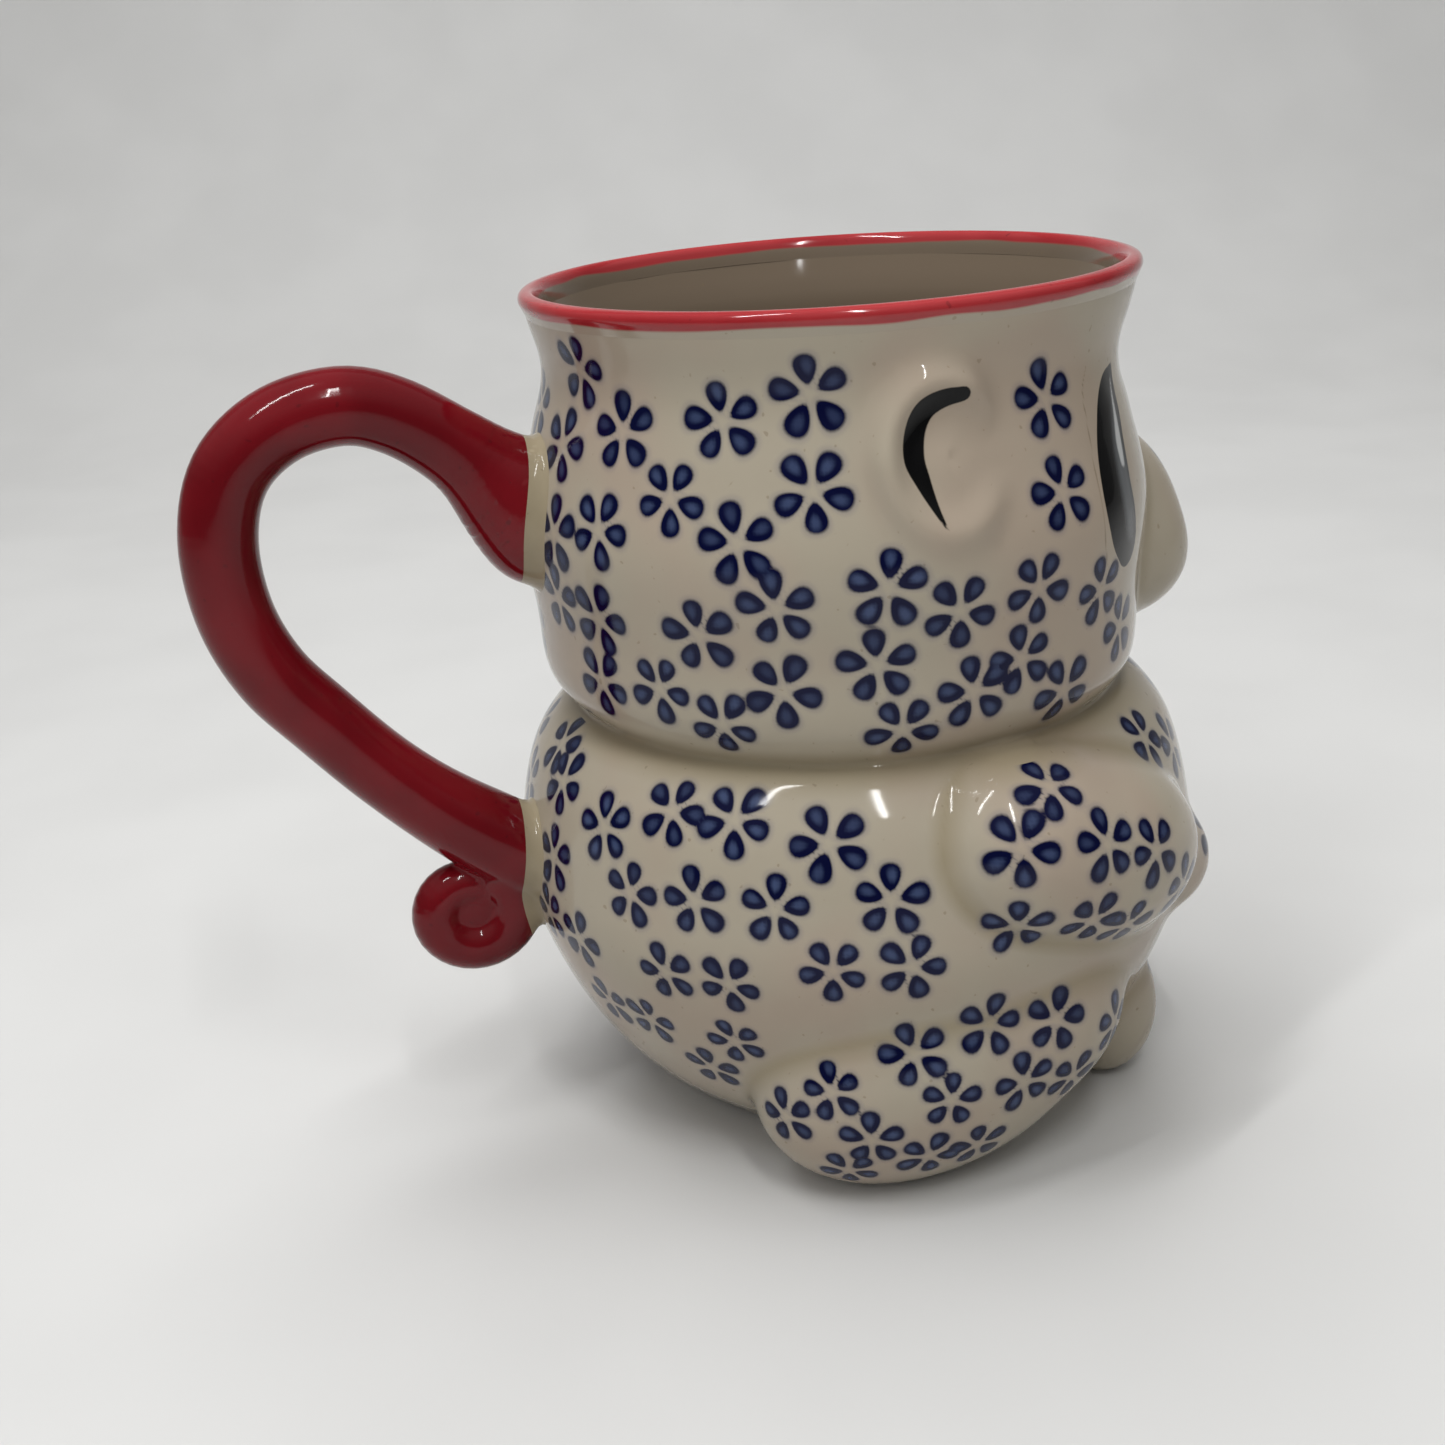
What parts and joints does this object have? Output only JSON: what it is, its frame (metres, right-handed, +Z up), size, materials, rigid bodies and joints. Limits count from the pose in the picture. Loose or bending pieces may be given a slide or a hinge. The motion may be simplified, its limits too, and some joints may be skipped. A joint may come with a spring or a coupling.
{
  "type": "figural mug",
  "caption": "Stoneware drinking mug shaped as a seated monkey, with a round lip and its curled tail as the handle.",
  "frame": {"origin": "centre of the flat resting face, on the mug's axis", "axes": "+Z up along the mug's axis, +Y towards the tail handle, -Y towards the face"},
  "size_m": [0.1044, 0.1435, 0.119],
  "materials": {
    "cream_glaze": "gloss",
    "rim_red_glaze": "gloss",
    "tail_red_glaze": "gloss"
  },
  "bodies": {
    "root": {"belly_wall": "cream_glaze", "head_wall": "cream_glaze", "rim_lip": "rim_red_glaze", "muzzle": "cream_glaze", "ear_left": "cream_glaze", "ear_right": "cream_glaze", "arm_left": "cream_glaze", "arm_right": "cream_glaze", "leg_left": "cream_glaze", "leg_right": "cream_glaze", "foot_left": "cream_glaze", "foot_right": "cream_glaze", "upper_collar": "cream_glaze", "lower_collar": "cream_glaze", "tail_handle": "tail_red_glaze", "tail_curl": "tail_red_glaze"}
  },
  "joints": []
}
